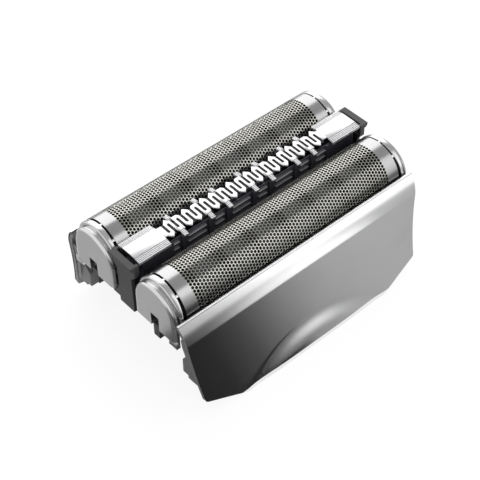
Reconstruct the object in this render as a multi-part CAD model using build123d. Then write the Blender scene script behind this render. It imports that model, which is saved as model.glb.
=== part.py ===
from build123d import *
from math import cos, radians, sin
import os

os.makedirs("parts", exist_ok=True)

# Two-foil shaver head with a floating middle trimmer. Lengths in millimetres.
# X runs along the foils, Y from front to rear, Z up from the lower edges of the skirts.

# Foils
foil_length = 40.6
valley_gap = 0.42
foil_radius = 4.6
foil_thickness = 0.15
foil_axis_drop = 0.75
foil_leg = 1.2
foil_facets = 9
hole_size = 1.2
hole_columns = 10
hole_rows = 7
hole_pitch = 3.5

# Skirts
rim_height = 17.2
rim_gap = 0.25
rim_lip = 0.35
rim_step = 0.15
shoulder_depth = 1.35
shoulder_drop = 3.25
shoulder_bulge = 0.45
flare_depth = 2.0
foot_depth = 0.95
corner_height = 2.9
corner_inset = 1.53
foot_inset = 7.27
corner_round = 0.6
cover_wall = 0.8
scoop_radius = 26.0
scoop_height = 5.6
scoop_depth = 0.55
scoop_wall = 0.6
scoop_floor = 0.9
scoop_ramp = 2.9
scoop_tilt = 15.0

# Play between moving pieces and seats
run_gap = 0.3
slide_gap = 0.12
seat_gap = 0.05

# Cassette frame
liner_wall = 1.1
liner_foot = 3.2
liner_inset = 0.15
rim_over = 0.04
bar_width = 1.3
bar_depth = 1.0
bar_lap = 0.4
beam_width = 0.7
hook_reach = 2.1
hook_width = 1.5
hook_top = 10.6
hook_foot = 5.0
hook_root = 1.0
hook_slope = 1.2
hook_notch = 0.5

# Cartridge ends
foil_gap = 0.76
crest_gap = 0.45
ring_width = 0.56
groove_width = 0.14
plate_width = 0.7
plate_drop = 1.35
plate_apex = 3.2
plate_foot = 4.5
plate_edge = 0.55
hub_shrink = 0.7
slot_width = 1.7
slot_height = 2.5
tab_width = 1.7
tab_depth = 0.8
plug_length = 1.9
cradle_depth = 1.45
rail_width = 0.55
rail_height = 0.8

# Travel
float_travel = 1.5
cutter_stroke = 1.0
trimmer_travel = 1.2
blade_stroke = 0.7

# Cutters
lamella_count = 7
lamella_thickness = 0.4
lamella_depth = 1.2
core_shoulder = 0.5
core_wall = 0.9
core_end = 1.2
core_roof = 1.0
lamella_inset = 0.3
carrier_depth = 2.4
socket_half = 2.4
socket_height = 3.6
bridge_height = 1.2
bridge_lap = 1.0
bore_radius = 1.5
bore_depth = 3.0

# Trimmer
trimmer_rise = 3.85
guard_thickness = 0.2
guard_end = 0.7
comb_length = 29.52
comb_turns = 18
comb_slot = 0.38
comb_reach = 0.79
comb_tip = 1.73
comb_eave = 1.03
comb_flat = 1.4
blunt_run = 0.3
neck_length = 0.64
tab_reach = 2.5
tab_stroke = 0.7
tab_cycle_count = 5
right_tab = 1
left_tab = 4
rib_flat = 1.38
rib_tread = 0.18
rib_riser = 0.08
rib_drop = 0.18
rib_count = 3
hem_depth = 0.45
hem_width = 0.23
hem_lap = 0.2
guard_lap = 0.5
channel_wall = 0.5
carrier_half = 1.88
carrier_height = 5.8
channel_floor = 0.9
channel_room = 0.5
wall_drop = 0.6
pad_inset = 0.15
window_depth = 0.3
window_foot = 2.3
post_half = 0.4
post_lap = 0.3
tongue_drop = 1.0
blade_thickness = 0.3
blade_half = 1.2
tooth_depth = 0.5
tooth_count = 3
slider_length = 10.0
slider_height = 3.4
slider_inset = 0.15
slider_roof = 1.2
slider_slot = 1.6
drive_room = 2.0
spring_thickness = 0.2
spring_width = 1.0
spring_span = 5.2
leaf_inset = 0.45
leaf_shift = 1.2

# Towers
tower_rise = 3.5
tower_half = 2.44
tower_neck = 1.6
tower_wall = 0.5
tower_head = 2.1
tower_gap = 0.15
tower_back = 0.4
tower_sill = 1.0
tower_mouth = 0.2
tower_lip = 0.6
tower_lip_depth = 0.8
tower_foot = 3.8
foot_drop = 1.2
rib_width = 1.3
rib_back = 0.16
rib_depth = 1.5

# Positions that follow from the sizes above
foil_spacing = 2 * (carrier_half + valley_gap + foil_radius)
foil_y = foil_spacing / 2
foil_axis = rim_height - foil_axis_drop
foil_end = foil_length / 2
foil_top = foil_axis + foil_radius
crest_in = foil_end + crest_gap
ring_in = foil_end + foil_gap
ring_out = ring_in + ring_width
plate_in = ring_out + groove_width
plate_out = plate_in + plate_width
rim_end = plate_out + rim_over
lip_in = foil_y + foil_radius + rim_gap
rim_y = lip_in + rim_lip
crease_y = rim_y + shoulder_depth
corner_y = crease_y + flare_depth
base_y = corner_y + foot_depth
crease_z = rim_height - shoulder_drop
corner_x = rim_end - corner_inset
base_x = corner_x - foot_inset
cradle_foot = foil_axis - cradle_depth
bar_top = cradle_foot - float_travel - run_gap
bar_foot = bar_top - bar_depth
bar_out = foil_end
bar_in = bar_out - bar_width
plug_in = foil_end - plug_length
liner_in = lip_in
tower_out = plate_out - tower_back
tower_in = foil_end + guard_end + tower_gap
trimmer_top = rim_height + trimmer_rise
guard_foot = trimmer_top - guard_thickness
carrier_foot = guard_foot - carrier_height
comb_pitch = comb_length / comb_turns
comb_end = comb_length / 2
rail_top = bar_top
rail_foot = bar_foot + bar_depth / 2


def slab(x0, x1, y0, y1, z0, z1):
    """A block between two corners."""
    block = Box(x1 - x0, y1 - y0, z1 - z0)
    return Pos((x0 + x1) / 2, (y0 + y1) / 2, (z0 + z1) / 2) * block


def along_x(face, x0, x1):
    """A section drawn in Y and Z, drawn out from x0 to x1."""
    solid = extrude(Plane.YZ * face, amount=x1 - x0)
    return Pos(x0, 0, 0) * solid


def polygon(points):
    """A straight-edged face."""
    return make_face(Polyline(*points, close=True))


def arch(radius, axis, foot):
    """A face with a half-round top over straight legs, centred on a foil."""
    left = (foil_y - radius, axis)
    right = (foil_y + radius, axis)
    top = ThreePointArc(left, (foil_y, axis + radius), right)
    legs = Polyline(right, (foil_y + radius, foot), (foil_y - radius, foot), left)
    return make_face(top.edges() + legs.edges())


def facet_arch(radius, foot):
    """The same face for the foil and what lies under it, with flat strips round the top."""
    points = []
    for index in range(foil_facets + 1):
        turn = radians(180.0 * index / foil_facets)
        points.append((foil_y + radius * cos(turn), foil_axis + radius * sin(turn)))
    return polygon(points + [(foil_y - radius, foot), (foil_y + radius, foot)])


def to_front(part):
    """The same piece on the front side."""
    return mirror(part, about=Plane.XZ)


def to_left(part):
    """The same piece at the left end."""
    return mirror(part, about=Plane.YZ)


def end_line(z):
    """Half length of a skirt at a height above its corners."""
    share = (z - corner_height) / (rim_height - corner_height)
    return corner_x + (rim_end - corner_x) * share


def skirt_curve(inset):
    """The flared face of a skirt, from the crease down to the lower edge."""
    start = (crease_y - inset, crease_z)
    middle = (corner_y - inset, corner_height)
    return ThreePointArc(start, middle, (base_y - inset, 0))


def cover():
    """Rear skirt panel: rim lip, rolled shoulder, flared face and thumb scoop."""
    step = (rim_y, rim_height - rim_step)
    crease = (crease_y, crease_z)
    shoulder = SagittaArc(step, crease, shoulder_bulge)
    if shoulder.center(CenterOf.MASS).X < (step[0] + crease[0]) / 2:
        shoulder = SagittaArc(step, crease, -shoulder_bulge)
    face_curve = skirt_curve(0)
    back_curve = skirt_curve(cover_wall)
    foot = Line((base_y, 0), (base_y - cover_wall, 0))
    top = Polyline(
        (crease_y - cover_wall, crease_z),
        (lip_in, rim_height - 2 * rim_lip),
        (lip_in, rim_height),
        (rim_y, rim_height),
        step,
    )
    edges = shoulder.edges() + face_curve.edges() + foot.edges() + back_curve.edges() + top.edges()
    panel = along_x(make_face(edges), -rim_end, rim_end)
    outline = polygon(
        [
            (-rim_end, rim_height),
            (-corner_x, corner_height),
            (-base_x, 0),
            (base_x, 0),
            (corner_x, corner_height),
            (rim_end, rim_height),
        ]
    )
    low = outline.vertices().sort_by(Axis.Y)[:4]
    outline = fillet(low, corner_round)
    panel = panel & extrude(Plane.XZ * outline, amount=2 * base_y, both=True)
    return panel - scoop()


def scoop():
    """Cutter for the thumb scoop: a round groove with a steep upper wall and a long lower ramp."""
    tilt = radians(scoop_tilt)
    out = Vector(0, cos(tilt), sin(tilt))
    down = Vector(0, sin(tilt), -cos(tilt))
    half = scoop_height / 2
    share = (corner_height - half) / corner_height
    on_face = Vector(0, corner_y + foot_depth * share, half)
    centre = on_face + down * (scoop_radius - half)
    section = polygon(
        [
            (scoop_radius + scoop_wall, scoop_depth),
            (scoop_radius - scoop_wall, -scoop_depth),
            (scoop_radius - scoop_wall - scoop_floor, -scoop_depth),
            (scoop_radius - scoop_wall - scoop_floor - scoop_ramp, 0),
            (scoop_radius - scoop_wall - scoop_floor - scoop_ramp, scoop_depth),
        ]
    )
    groove = revolve(Plane.XZ * section, Axis.Z)
    return Plane(origin=centre, x_dir=(1, 0, 0), z_dir=out) * groove


def liner():
    """Rear wall of the cassette frame, behind its cover."""
    inset = cover_wall + seat_gap
    curve = skirt_curve(inset)
    low = base_y - inset - liner_wall
    path = Polyline(
        (crease_y - inset, crease_z),
        (liner_in, crease_z),
        (liner_in, bar_foot),
        (corner_y - inset - liner_wall, corner_height),
        (low, 0),
        (base_y - inset, 0),
    )
    wall = along_x(make_face(curve.edges() + path.edges()), -rim_end, rim_end)
    top_x = end_line(crease_z) - liner_inset
    low_x = end_line(hook_foot) - liner_inset
    foot_x = low_x - 2 * (hook_foot - liner_foot)
    outline = polygon(
        [
            (-top_x, crease_z),
            (-low_x, hook_foot),
            (-foot_x, liner_foot),
            (foot_x, liner_foot),
            (low_x, hook_foot),
            (top_x, crease_z),
        ]
    )
    return wall & extrude(Plane.XZ * outline, amount=2 * base_y, both=True)


def hook_block():
    """Latch hook at the rear right corner, with a sloped top and a notch under it."""
    back = liner_in + hook_root
    tip = back - hook_reach
    middle = (tip + back) / 2
    face = polygon(
        [
            (back, hook_top),
            (tip, hook_top - 2 * hook_slope),
            (tip, hook_foot + hook_notch),
            (middle, hook_foot + hook_notch),
            (middle, hook_foot),
            (back + hook_root, hook_foot),
        ]
    )
    outer = end_line(hook_foot) - liner_inset
    return along_x(face, outer - hook_width, outer)


def cassette_frame():
    """Both liners, the two end bars and the four hook blocks in one moulding."""
    rear = liner()
    hooks = hook_block()
    rear = rear + hooks + to_left(hooks)
    reach = liner_in + bar_lap
    bars = slab(bar_in, bar_out, -reach, reach, bar_foot, bar_top)
    notch_half = carrier_half + seat_gap
    bars = bars - slab(bar_in, bar_out, -notch_half, notch_half, rail_foot, bar_top)
    return rear + to_front(rear) + bars + to_left(bars)


def tower():
    """Right end tower: an outer wall under a pocketed head, with open sides below it."""
    top = rim_height + tower_rise
    head = top - tower_head
    slope = head - (tower_half - tower_neck)
    low = bar_foot - foot_drop
    face = polygon(
        [
            (-tower_half, top),
            (-tower_half, head),
            (-tower_neck, slope),
            (-tower_neck, low),
            (tower_neck, low),
            (tower_neck, slope),
            (tower_half, head),
            (tower_half, top),
        ]
    )
    body = along_x(face, tower_in, tower_out)
    lip = slab(tower_out, tower_out + tower_lip, -tower_half, tower_half, top - tower_lip_depth, top)
    edge = lip.edges().filter_by(Axis.Y).sort_by(Axis.Z)[0:2].sort_by(Axis.X)[-1]
    lip = chamfer(edge, tower_lip_depth / 2)
    foot = slab(bar_out, plate_in - slide_gap, -tower_foot, tower_foot, low, bar_top)
    inner = tower_out - tower_wall
    narrow = tower_neck - tower_wall
    wide = tower_half - tower_wall
    pocket = slab(tower_in - 1, inner, -narrow, narrow, bar_top, top + 1)
    mouth = slab(tower_in - 1, inner, -wide, wide, head + tower_mouth, top + 1)
    sides = slab(tower_in - 1, inner, -tower_half, tower_half, bar_top + tower_sill, slope)
    return body + lip + foot - pocket - mouth - sides


def guide_rib():
    """Rib at the right end that the slots of the two caps slide on, with the arm that carries it."""
    half = rib_width / 2
    arm = slab(bar_out, plate_in - slide_gap, -foil_y, foil_y, bar_foot, bar_top)
    rib = slab(bar_out, plate_out - rib_back, foil_y - half, foil_y + half, bar_foot - rib_depth, bar_top)
    return arm + rib + to_front(rib)


def centre_frame():
    """The two towers with their guide ribs and the pair of rails between them."""
    ends = tower() + guide_rib()
    beam = slab(-bar_out, bar_out, carrier_half - beam_width, carrier_half, rail_foot, rail_top)
    return ends + to_left(ends) + beam + to_front(beam)


def foil():
    """Rear foil: an arched sheet with staggered hexagonal openings."""
    outer = facet_arch(foil_radius, foil_axis - foil_leg)
    inner = facet_arch(foil_radius - foil_thickness, foil_axis - foil_leg - 1)
    sheet = along_x(outer - inner, -foil_end, foil_end)
    punch = extrude(RegularPolygon(hole_size / 2, 6), amount=2 * foil_radius)
    tools = []
    for row in range(hole_rows):
        lean = (row - (hole_rows - 1) / 2) * 180.0 / foil_facets
        shift = hole_pitch / 4 if row % 2 else -hole_pitch / 4
        for column in range(hole_columns):
            x = (column - (hole_columns - 1) / 2) * hole_pitch + shift
            tools.append(Pos(x, foil_y, foil_axis) * Rot(lean, 0, 0) * punch)
    return sheet - tools


def cradle():
    """Moulding inside the rear foil: a plug at each end joined by two rails."""
    inside = foil_radius - foil_thickness - seat_gap
    plug = along_x(facet_arch(inside, cradle_foot), plug_in, foil_end)
    neck = along_x(facet_arch(foil_radius - hub_shrink, cradle_foot), foil_end, ring_in) - ring_wedge()
    top = cradle_foot + rail_height
    near = foil_y - inside
    far = foil_y + inside
    low_rail = slab(-plug_in, plug_in, near, near + rail_width, cradle_foot, top)
    high_rail = slab(-plug_in, plug_in, far - rail_width, far, cradle_foot, top)
    end = plug + neck
    return end + to_left(end) + low_rail + high_rail


def ring_wedge():
    """Block that gives the ring flange its side faces: broader at the crest than at the feet."""
    face = polygon(
        [
            (crest_in, foil_top),
            (ring_in, cradle_foot),
            (ring_out, cradle_foot),
            (ring_out, foil_top),
        ]
    )
    return extrude(Plane.XZ * face, amount=2 * foil_spacing, both=True)


def cap():
    """Rear right end cap: ring flange, hub and D-shaped plate with a slot and a corner tab."""
    ring = along_x(arch(foil_radius, foil_axis, cradle_foot), crest_in, ring_out) & ring_wedge()
    hub = along_x(facet_arch(foil_radius - hub_shrink, cradle_foot), ring_out, plate_in)
    axis = rim_height - plate_drop
    radius = plate_apex + plate_drop
    foot = rim_height - plate_foot
    plate = along_x(arch(radius, axis, foot), plate_in, plate_out)
    face = plate.faces().sort_by(Axis.X)[-1]
    rim = face.edges().sort_by(Axis.Z)[1:]
    plate = chamfer(rim, plate_edge)
    tab = slab(plate_in, plate_out, foil_y + radius - tab_width, foil_y + radius, foot - tab_depth, foot)
    half = slot_width / 2
    slot = slab(plate_in - 1, plate_out + 1, foil_y - half, foil_y + half, foot - 1, foot + slot_height)
    return ring + hub + (plate + tab - slot)


def leaf(span, foot, crown):
    """A bowed leaf spring section in Y and Z, standing on its two ends."""
    half = span / 2
    knee = half * 0.45
    middle = (foot + crown) / 2
    rise = crown - foot
    over = [(half, foot), (half * 0.75, middle + 0.1 * rise), (knee, crown)]
    under = [(y - spring_thickness * 1.2, z - spring_thickness) for y, z in over]
    under[0] = (half - spring_thickness * 1.6, foot)
    right = under[::-1] + over
    left = [(-y, z) for y, z in reversed(right)]
    return polygon(right + left)


def float_springs():
    """The two leaves under the rear cradle."""
    face = leaf(spring_span, bar_top, cradle_foot - seat_gap)
    middle = (bar_in + bar_out) / 2
    solid = along_x(face, middle - spring_width / 2, middle + spring_width / 2)
    right = Pos(0, foil_y, 0) * solid
    return Compound(children=[right, to_left(right)])


def cutter_reach():
    """Half length of a cutter block."""
    return plug_in - cutter_stroke - run_gap


def core_half():
    """Half width of the carrier's core under the lamellae."""
    return foil_radius - foil_thickness - slide_gap - lamella_depth


def blades():
    """The row of arched lamellae under the rear foil."""
    outer = foil_radius - foil_thickness - slide_gap
    half = core_half()
    shoulder = foil_axis + half - core_shoulder
    window = polygon(
        [
            (foil_y - half, cradle_foot),
            (foil_y - half, foil_axis + core_shoulder),
            (foil_y - half + core_shoulder * 2, shoulder),
            (foil_y + half - core_shoulder * 2, shoulder),
            (foil_y + half, foil_axis + core_shoulder),
            (foil_y + half, cradle_foot),
        ]
    )
    foot = cradle_foot + rail_height + slide_gap
    face = facet_arch(outer, foot) - window
    reach = cutter_reach() - lamella_inset
    gap = (2 * reach - lamella_thickness) / (lamella_count - 1)
    row = []
    for index in range(lamella_count):
        start = -reach + index * gap
        row.append(along_x(face, start, start + lamella_thickness))
    return Compound(children=row)


def cutter_carrier():
    """Core that the lamellae sit on, over a flat base between the cradle's rails."""
    half = core_half()
    shoulder = foil_axis + half - core_shoulder
    foot = cradle_foot - carrier_depth + bridge_height
    core = polygon(
        [
            (foil_y - half, foot),
            (foil_y - half, foil_axis + core_shoulder),
            (foil_y - half + core_shoulder * 2, shoulder),
            (foil_y + half - core_shoulder * 2, shoulder),
            (foil_y + half, foil_axis + core_shoulder),
            (foil_y + half, foot),
        ]
    )
    body = along_x(core, -cutter_reach(), cutter_reach())
    hollow = slab(
        -cutter_reach() + core_end,
        cutter_reach() - core_end,
        foil_y - half + core_wall,
        foil_y + half - core_wall,
        foot - 1,
        shoulder - core_roof,
    )
    reach = socket_half + bridge_lap
    bridge = slab(-reach, reach, foil_y - half, foil_y + half, foot, foot + bridge_height)
    return body - hollow + bridge


def drive_socket():
    """Bush under the rear carrier with a blind bore from below."""
    top = cradle_foot - carrier_depth + bridge_height
    low = top - socket_height
    bush = slab(-socket_half, socket_half, foil_y - socket_half, foil_y + socket_half, low, top)
    bush = chamfer(bush.edges().filter_by(Axis.Z), socket_half / 4)
    bore = Pos(0, foil_y, low + bore_depth / 2) * Cylinder(bore_radius, bore_depth)
    return bush - bore


def tab(x, side):
    """Plan of a tab of the comb, from its left corner round to its right one."""
    half = tab_stroke / 2
    corners = [(x - half, comb_flat), (x - half, tab_reach), (x + half, tab_reach), (x + half, comb_flat)]
    return [(x, side * y) for x, y in corners]


def comb_outline():
    """Plan of the serpentine comb as one closed line: gabled loops, and blunt ones beside the tabs."""
    half_slot = comb_slot / 2
    end = comb_end + neck_length + guard_lap
    rear = [(-end, comb_eave)]
    front = [(-end, -comb_eave)]
    for index in range(comb_turns):
        shut = -comb_end + (index + 0.25) * comb_pitch
        ridge = shut + comb_pitch / 2
        turn = index % tab_cycle_count
        floor = [(shut - half_slot, -comb_reach), (shut + half_slot, -comb_reach)]
        if turn == right_tab:
            rear += [(shut - half_slot, comb_eave)] + floor + [(shut + half_slot, comb_flat)]
            rear += tab(shut, 1) + [(ridge + blunt_run, comb_flat)]
            front += tab(shut, -1) + [(ridge - half_slot, -comb_flat)]
        elif turn == left_tab:
            rear += tab(shut, 1) + [(shut - half_slot, comb_flat)] + floor
            rear += [(shut + half_slot, comb_eave), (ridge, comb_tip)]
            front += tab(shut, -1) + [(ridge - half_slot, -comb_eave)]
        else:
            rear += [(shut - half_slot, comb_eave)] + floor + [(shut + half_slot, comb_eave)]
            before_tab = (index + 1) % tab_cycle_count == left_tab
            rear.append((ridge - blunt_run, comb_flat) if before_tab else (ridge, comb_tip))
            front += [(shut, -comb_tip), (ridge - half_slot, -comb_eave)]
        next_blunt = (index + 1) % tab_cycle_count == left_tab
        front += [(ridge - half_slot, comb_reach), (ridge + half_slot, comb_reach)]
        front.append((ridge + half_slot, -comb_flat if next_blunt else -comb_eave))
    rear += [(comb_end + comb_eave - comb_reach, comb_eave), (end, comb_eave)]
    front.append((end, -comb_eave))
    return rear + front[::-1]


def trimmer_guard():
    """Bright top of the trimmer: the serpentine comb between two ribbed end plates."""
    comb = extrude(Pos(0, 0, guard_foot) * polygon(comb_outline()), amount=guard_thickness)
    side = [(rib_flat, trimmer_top)]
    for step in range(rib_count):
        y = rib_flat + step * (rib_riser + rib_tread)
        z = trimmer_top - (step + 1) * rib_drop
        side.append((y + rib_riser, z))
        side.append((y + rib_riser + rib_tread, z))
    skirt_y, skirt_z = side[-1]
    side.append((skirt_y, skirt_z - hem_depth))
    side.append((skirt_y - hem_width, skirt_z - hem_depth))
    side.append((skirt_y - hem_width, skirt_z - hem_lap))
    side.append((rib_flat - rib_riser, guard_foot))
    other = [(-y, z) for y, z in reversed(side)]
    plate = along_x(polygon(side + other), comb_end + neck_length, foil_end + guard_end)
    return comb + plate + to_left(plate)


def trimmer_carrier():
    """Dark channel under the guard with recessed windows between posts and a tongue at each end."""
    end = foil_end - liner_inset
    wall_top = guard_foot - wall_drop
    body = slab(-end, end, -carrier_half, carrier_half, carrier_foot, wall_top)
    inner = carrier_half - channel_wall
    reach = comb_end + blade_stroke + channel_room
    channel = slab(-reach, reach, -inner, inner, carrier_foot + channel_floor, wall_top + 1)
    pad_half = rib_flat - pad_inset
    pad = slab(reach, end, -pad_half, pad_half, wall_top, guard_foot)
    tongue_half = tower_neck - tower_wall - run_gap
    tip = tower_out - tower_wall - run_gap
    tongue = slab(end, tip, -tongue_half, tongue_half, carrier_foot, wall_top - tongue_drop)
    room = slider_length / 2 + drive_room
    drive = slab(-room, room, -inner, inner, carrier_foot - 1, wall_top)
    body = body - channel - drive + pad + to_left(pad) + tongue + to_left(tongue)
    foot = carrier_foot + window_foot
    posts = []
    for index in range(comb_turns):
        if index % tab_cycle_count in (right_tab, left_tab):
            posts.append(-comb_end + (index + 0.25) * comb_pitch)
    marks = [-comb_end - post_lap] + posts + [comb_end + post_lap]
    cuts = []
    for start, stop in zip(marks[:-1], marks[1:]):
        x0 = start + post_half
        x1 = stop - post_half
        cuts.append(slab(x0, x1, -carrier_half - 1, -carrier_half + window_depth, foot, wall_top + 1))
    side = body
    for cut in cuts:
        side = side - cut - to_front(cut)
    return side


def trimmer_blade():
    """Toothed strip that swings under the comb."""
    top = guard_foot - seat_gap
    strip = slab(-comb_end, comb_end, -blade_half, blade_half, top - blade_thickness, top)
    cuts = []
    for index in range(comb_turns // tooth_count):
        x = -comb_end + tooth_count * (index + 0.5) * comb_pitch
        gap = tooth_count * comb_pitch / 4
        cuts.append(slab(x - gap, x + gap, blade_half - tooth_depth, blade_half + 1, top - 1, top + 1))
        cuts.append(slab(x - gap, x + gap, -blade_half - 1, -blade_half + tooth_depth, top - 1, top + 1))
    return strip - cuts


def trimmer_slider():
    """Block under the toothed strip with a slot for the drive."""
    top = guard_foot - seat_gap - blade_thickness
    half = blade_half - slider_inset
    block = slab(-slider_length / 2, slider_length / 2, -half, half, top - slider_height, top)
    gap = slider_slot / 2
    slot = slab(-gap, gap, -half - 1, half + 1, top - slider_height - 1, top - slider_roof)
    return block - slot


def trimmer_springs():
    """The two leaves under the ends of the trimmer carrier."""
    face = leaf(2 * (carrier_half - leaf_inset), rail_top, carrier_foot - seat_gap)
    middle = comb_end + leaf_shift
    right = along_x(face, middle - spring_width / 2, middle + spring_width / 2)
    return Compound(children=[right, to_left(right)])


pieces = {
    "cassette_frame": cassette_frame(),
    "centre_frame": centre_frame(),
    "rear_cover": cover(),
    "rear_foil": foil(),
    "rear_cradle": cradle(),
    "rear_right_cap": cap(),
    "rear_float_springs": float_springs(),
    "rear_blades": blades(),
    "rear_cutter_carrier": cutter_carrier(),
    "rear_drive_socket": drive_socket(),
    "trimmer_guard": trimmer_guard(),
    "trimmer_carrier": trimmer_carrier(),
    "trimmer_blade": trimmer_blade(),
    "trimmer_slider": trimmer_slider(),
    "trimmer_springs": trimmer_springs(),
}
pieces["rear_left_cap"] = to_left(pieces["rear_right_cap"])
for name in list(pieces):
    if name.startswith("rear_"):
        pieces["front_" + name[5:]] = to_front(pieces[name])
for name, piece in pieces.items():
    export_step(piece, "parts/" + name + ".step")
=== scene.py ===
"""Dresses a two-foil shaver head: skirts, fine foils, end caps, trimmer comb, finishes and studio."""

import cmath
import math

import bmesh
import bpy
from bpy.props import FloatProperty, FloatVectorProperty, IntProperty, PointerProperty
from mathutils import Matrix, Vector


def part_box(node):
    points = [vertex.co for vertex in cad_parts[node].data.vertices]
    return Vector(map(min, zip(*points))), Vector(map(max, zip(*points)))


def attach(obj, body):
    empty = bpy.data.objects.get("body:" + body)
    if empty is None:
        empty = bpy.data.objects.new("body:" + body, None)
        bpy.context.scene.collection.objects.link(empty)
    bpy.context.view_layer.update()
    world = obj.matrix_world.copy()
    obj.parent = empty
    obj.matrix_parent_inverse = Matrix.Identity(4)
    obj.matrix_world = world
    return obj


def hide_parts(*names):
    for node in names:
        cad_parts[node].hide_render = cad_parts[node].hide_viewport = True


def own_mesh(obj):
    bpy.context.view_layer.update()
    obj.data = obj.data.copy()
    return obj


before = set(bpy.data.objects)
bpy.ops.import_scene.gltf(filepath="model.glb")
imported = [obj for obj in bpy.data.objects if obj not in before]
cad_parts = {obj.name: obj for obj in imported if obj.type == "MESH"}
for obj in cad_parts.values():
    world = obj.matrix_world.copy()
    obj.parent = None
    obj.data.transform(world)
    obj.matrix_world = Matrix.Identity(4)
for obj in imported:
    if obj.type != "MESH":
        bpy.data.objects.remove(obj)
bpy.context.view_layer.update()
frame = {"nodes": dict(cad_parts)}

bl_info = {
    "name": "Shaver Foil Head",
    "version": (1, 0, 0),
    "blender": (4, 5, 0),
    "location": "View3D > Sidebar > Foil Head",
    "description": "Models the looks of a two-foil shaver head around its packed solids",
    "category": "Object",
}

MM = 0.001

# Tolerances: what counts as one point, as on a plane, and as above a foot
MERGE = 0.0005 * MM
FOIL_MERGE = 0.002 * MM
FOIL_CUT = 0.00002 * MM
SLANT_CUT = 0.0001 * MM
ON_PLANE = 0.001 * MM
ON_SLANT = 0.002 * MM
ABOVE = 0.01 * MM

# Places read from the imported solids
CAP_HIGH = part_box("rear_right_cap")[1]
FOIL_LOW, FOIL_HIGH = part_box("rear_foil")
COVER_LOW, COVER_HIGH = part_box("rear_cover")
GUARD_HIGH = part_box("trimmer_guard")[1]
CARRIER_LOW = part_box("trimmer_carrier")[0]
FOIL_RADIUS = (FOIL_HIGH.y - FOIL_LOW.y) / 2
FOIL_Y = (FOIL_HIGH.y + FOIL_LOW.y) / 2
FOIL_AXIS = CAP_HIGH.z - FOIL_RADIUS
FOIL_END = FOIL_HIGH.x
RIM = COVER_HIGH.z


def length(name, size, description):
    """A size that a user may change, given in millimetres."""
    return FloatProperty(name=name, description=description, default=size * MM, unit="LENGTH", precision=5)


def degrees(name, angle, description):
    """An angle that a user may change."""
    turn = math.radians(angle)
    return FloatProperty(name=name, description=description, default=turn, subtype="ANGLE")


def watts(name, default, description):
    """A lamp's power that a user may change."""
    return FloatProperty(name=name, description=description, default=default, unit="POWER")


def whole(name, default, description, low=2):
    """A number of repeats that a user may change."""
    return IntProperty(name=name, description=description, default=default, min=low)


def colour(name, default, description):
    """A finish colour that a user may change."""
    return FloatVectorProperty(
        name=name, description=description, default=default, size=3, min=0.0, max=1.0, subtype="COLOR"
    )


class FoilSizes(bpy.types.PropertyGroup):
    """Perforation of the two foils."""

    pitch: length("Pitch", 0.518, "Distance between neighbouring holes round the arch")
    stretch: FloatProperty(name="Stretch", description="Stretch of the pattern along the foil", default=1.097)
    hole: length("Hole radius", 0.24, "Radius of one hole")
    thickness: length("Thickness", 0.045, "Thickness of the sheet")
    columns: whole("Columns", 74, "Hole columns along the foil")
    rows: whole("Rows", 31, "Hole rows round the arch")
    wrap: degrees("Wrap", 192.0, "Angle of the arch")
    leg: length("Leg", 1.1, "Height of the plain strips below the arch")


class CapSizes(bpy.types.PropertyGroup):
    """End caps of the two cartridges."""

    crest_gap: length("Crest gap", 0.26, "Gap between the foil and the ring at its crest")
    ring_gap: length("Ring gap", 0.8, "Gap between the foil and the ring at its feet")
    ring_width: length("Ring width", 0.4, "Width of the ring flange at its feet")
    groove: length("Groove", 0.26, "Gap between the ring and the plate")
    hub_shrink: length("Hub step", 0.7, "Step from the ring down to the hub")
    plate_drop: length("Plate drop", 1.35, "Depth of the plate's centre below the rim")
    plate_radius: length("Plate radius", 4.55, "Radius of the plate's round top")
    plate_foot: length("Plate foot", 4.5, "Depth of the plate's lower edge below the rim")
    plate_round: length("Plate rounding", 1.0, "Rounding of the plate's outer edge on its face")
    round_depth: length("Rounding depth", 0.64, "Rounding of the plate's outer edge along the head")
    slot_width: length("Slot width", 1.7, "Width of the slot in the plate")
    slot_height: length("Slot height", 2.5, "Height of the slot in the plate")
    tab_width: length("Tab width", 1.7, "Width of the corner tab")
    tab_depth: length("Tab depth", 0.8, "Depth of the corner tab")
    nub: length("Nub", 0.42, "Width of the small links between ring and foil")


class SkirtSizes(bpy.types.PropertyGroup):
    """Chromed skirts."""

    wall: length("Wall", 0.8, "Thickness of the panel")
    skin: length("Skin", 0.06, "Thickness of the chromed skin")
    seam: length("Seam", 0.15, "Dark line between the skin and its backing")
    lip: length("Lip", 0.35, "Width of the flat rim")
    groove: length("Groove", 0.09, "Depth of the fine line under the rim")
    shoulder_depth: length("Shoulder depth", 1.35, "Reach of the rolled shoulder")
    shoulder_drop: length("Shoulder drop", 3.25, "Height of the rolled shoulder")
    shoulder_bulge: length("Shoulder bulge", 0.19, "Swell of the rolled shoulder")
    corner_height: length("Corner height", 2.9, "Height of the lower corners")
    corner_inset: length("Corner inset", 1.53, "Taper of the ends down to the corners")
    foot_inset: length("Foot inset", 7.27, "Run of the cut-off lower corners")
    foot_depth: length("Foot depth", 0.95, "Flare below the corners")
    corner_round: length("Corner rounding", 0.5, "Softening of the corners")
    scoop_radius: length("Scoop radius", 23.5, "Radius of the thumb scoop's upper edge")
    scoop_height: length("Scoop height", 5.3, "Height of the scoop's upper edge at the middle")
    scoop_depth: length("Scoop depth", 0.45, "Depth of the scoop")
    scoop_wall: length("Scoop wall", 0.9, "Width of the scoop's upper wall")
    scoop_ramp: length("Scoop ramp", 3.4, "Width of the scoop's lower ramp")
    scoop_reach: length("Scoop reach", 15.0, "Distance from the middle where the scoop has run out")


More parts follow.
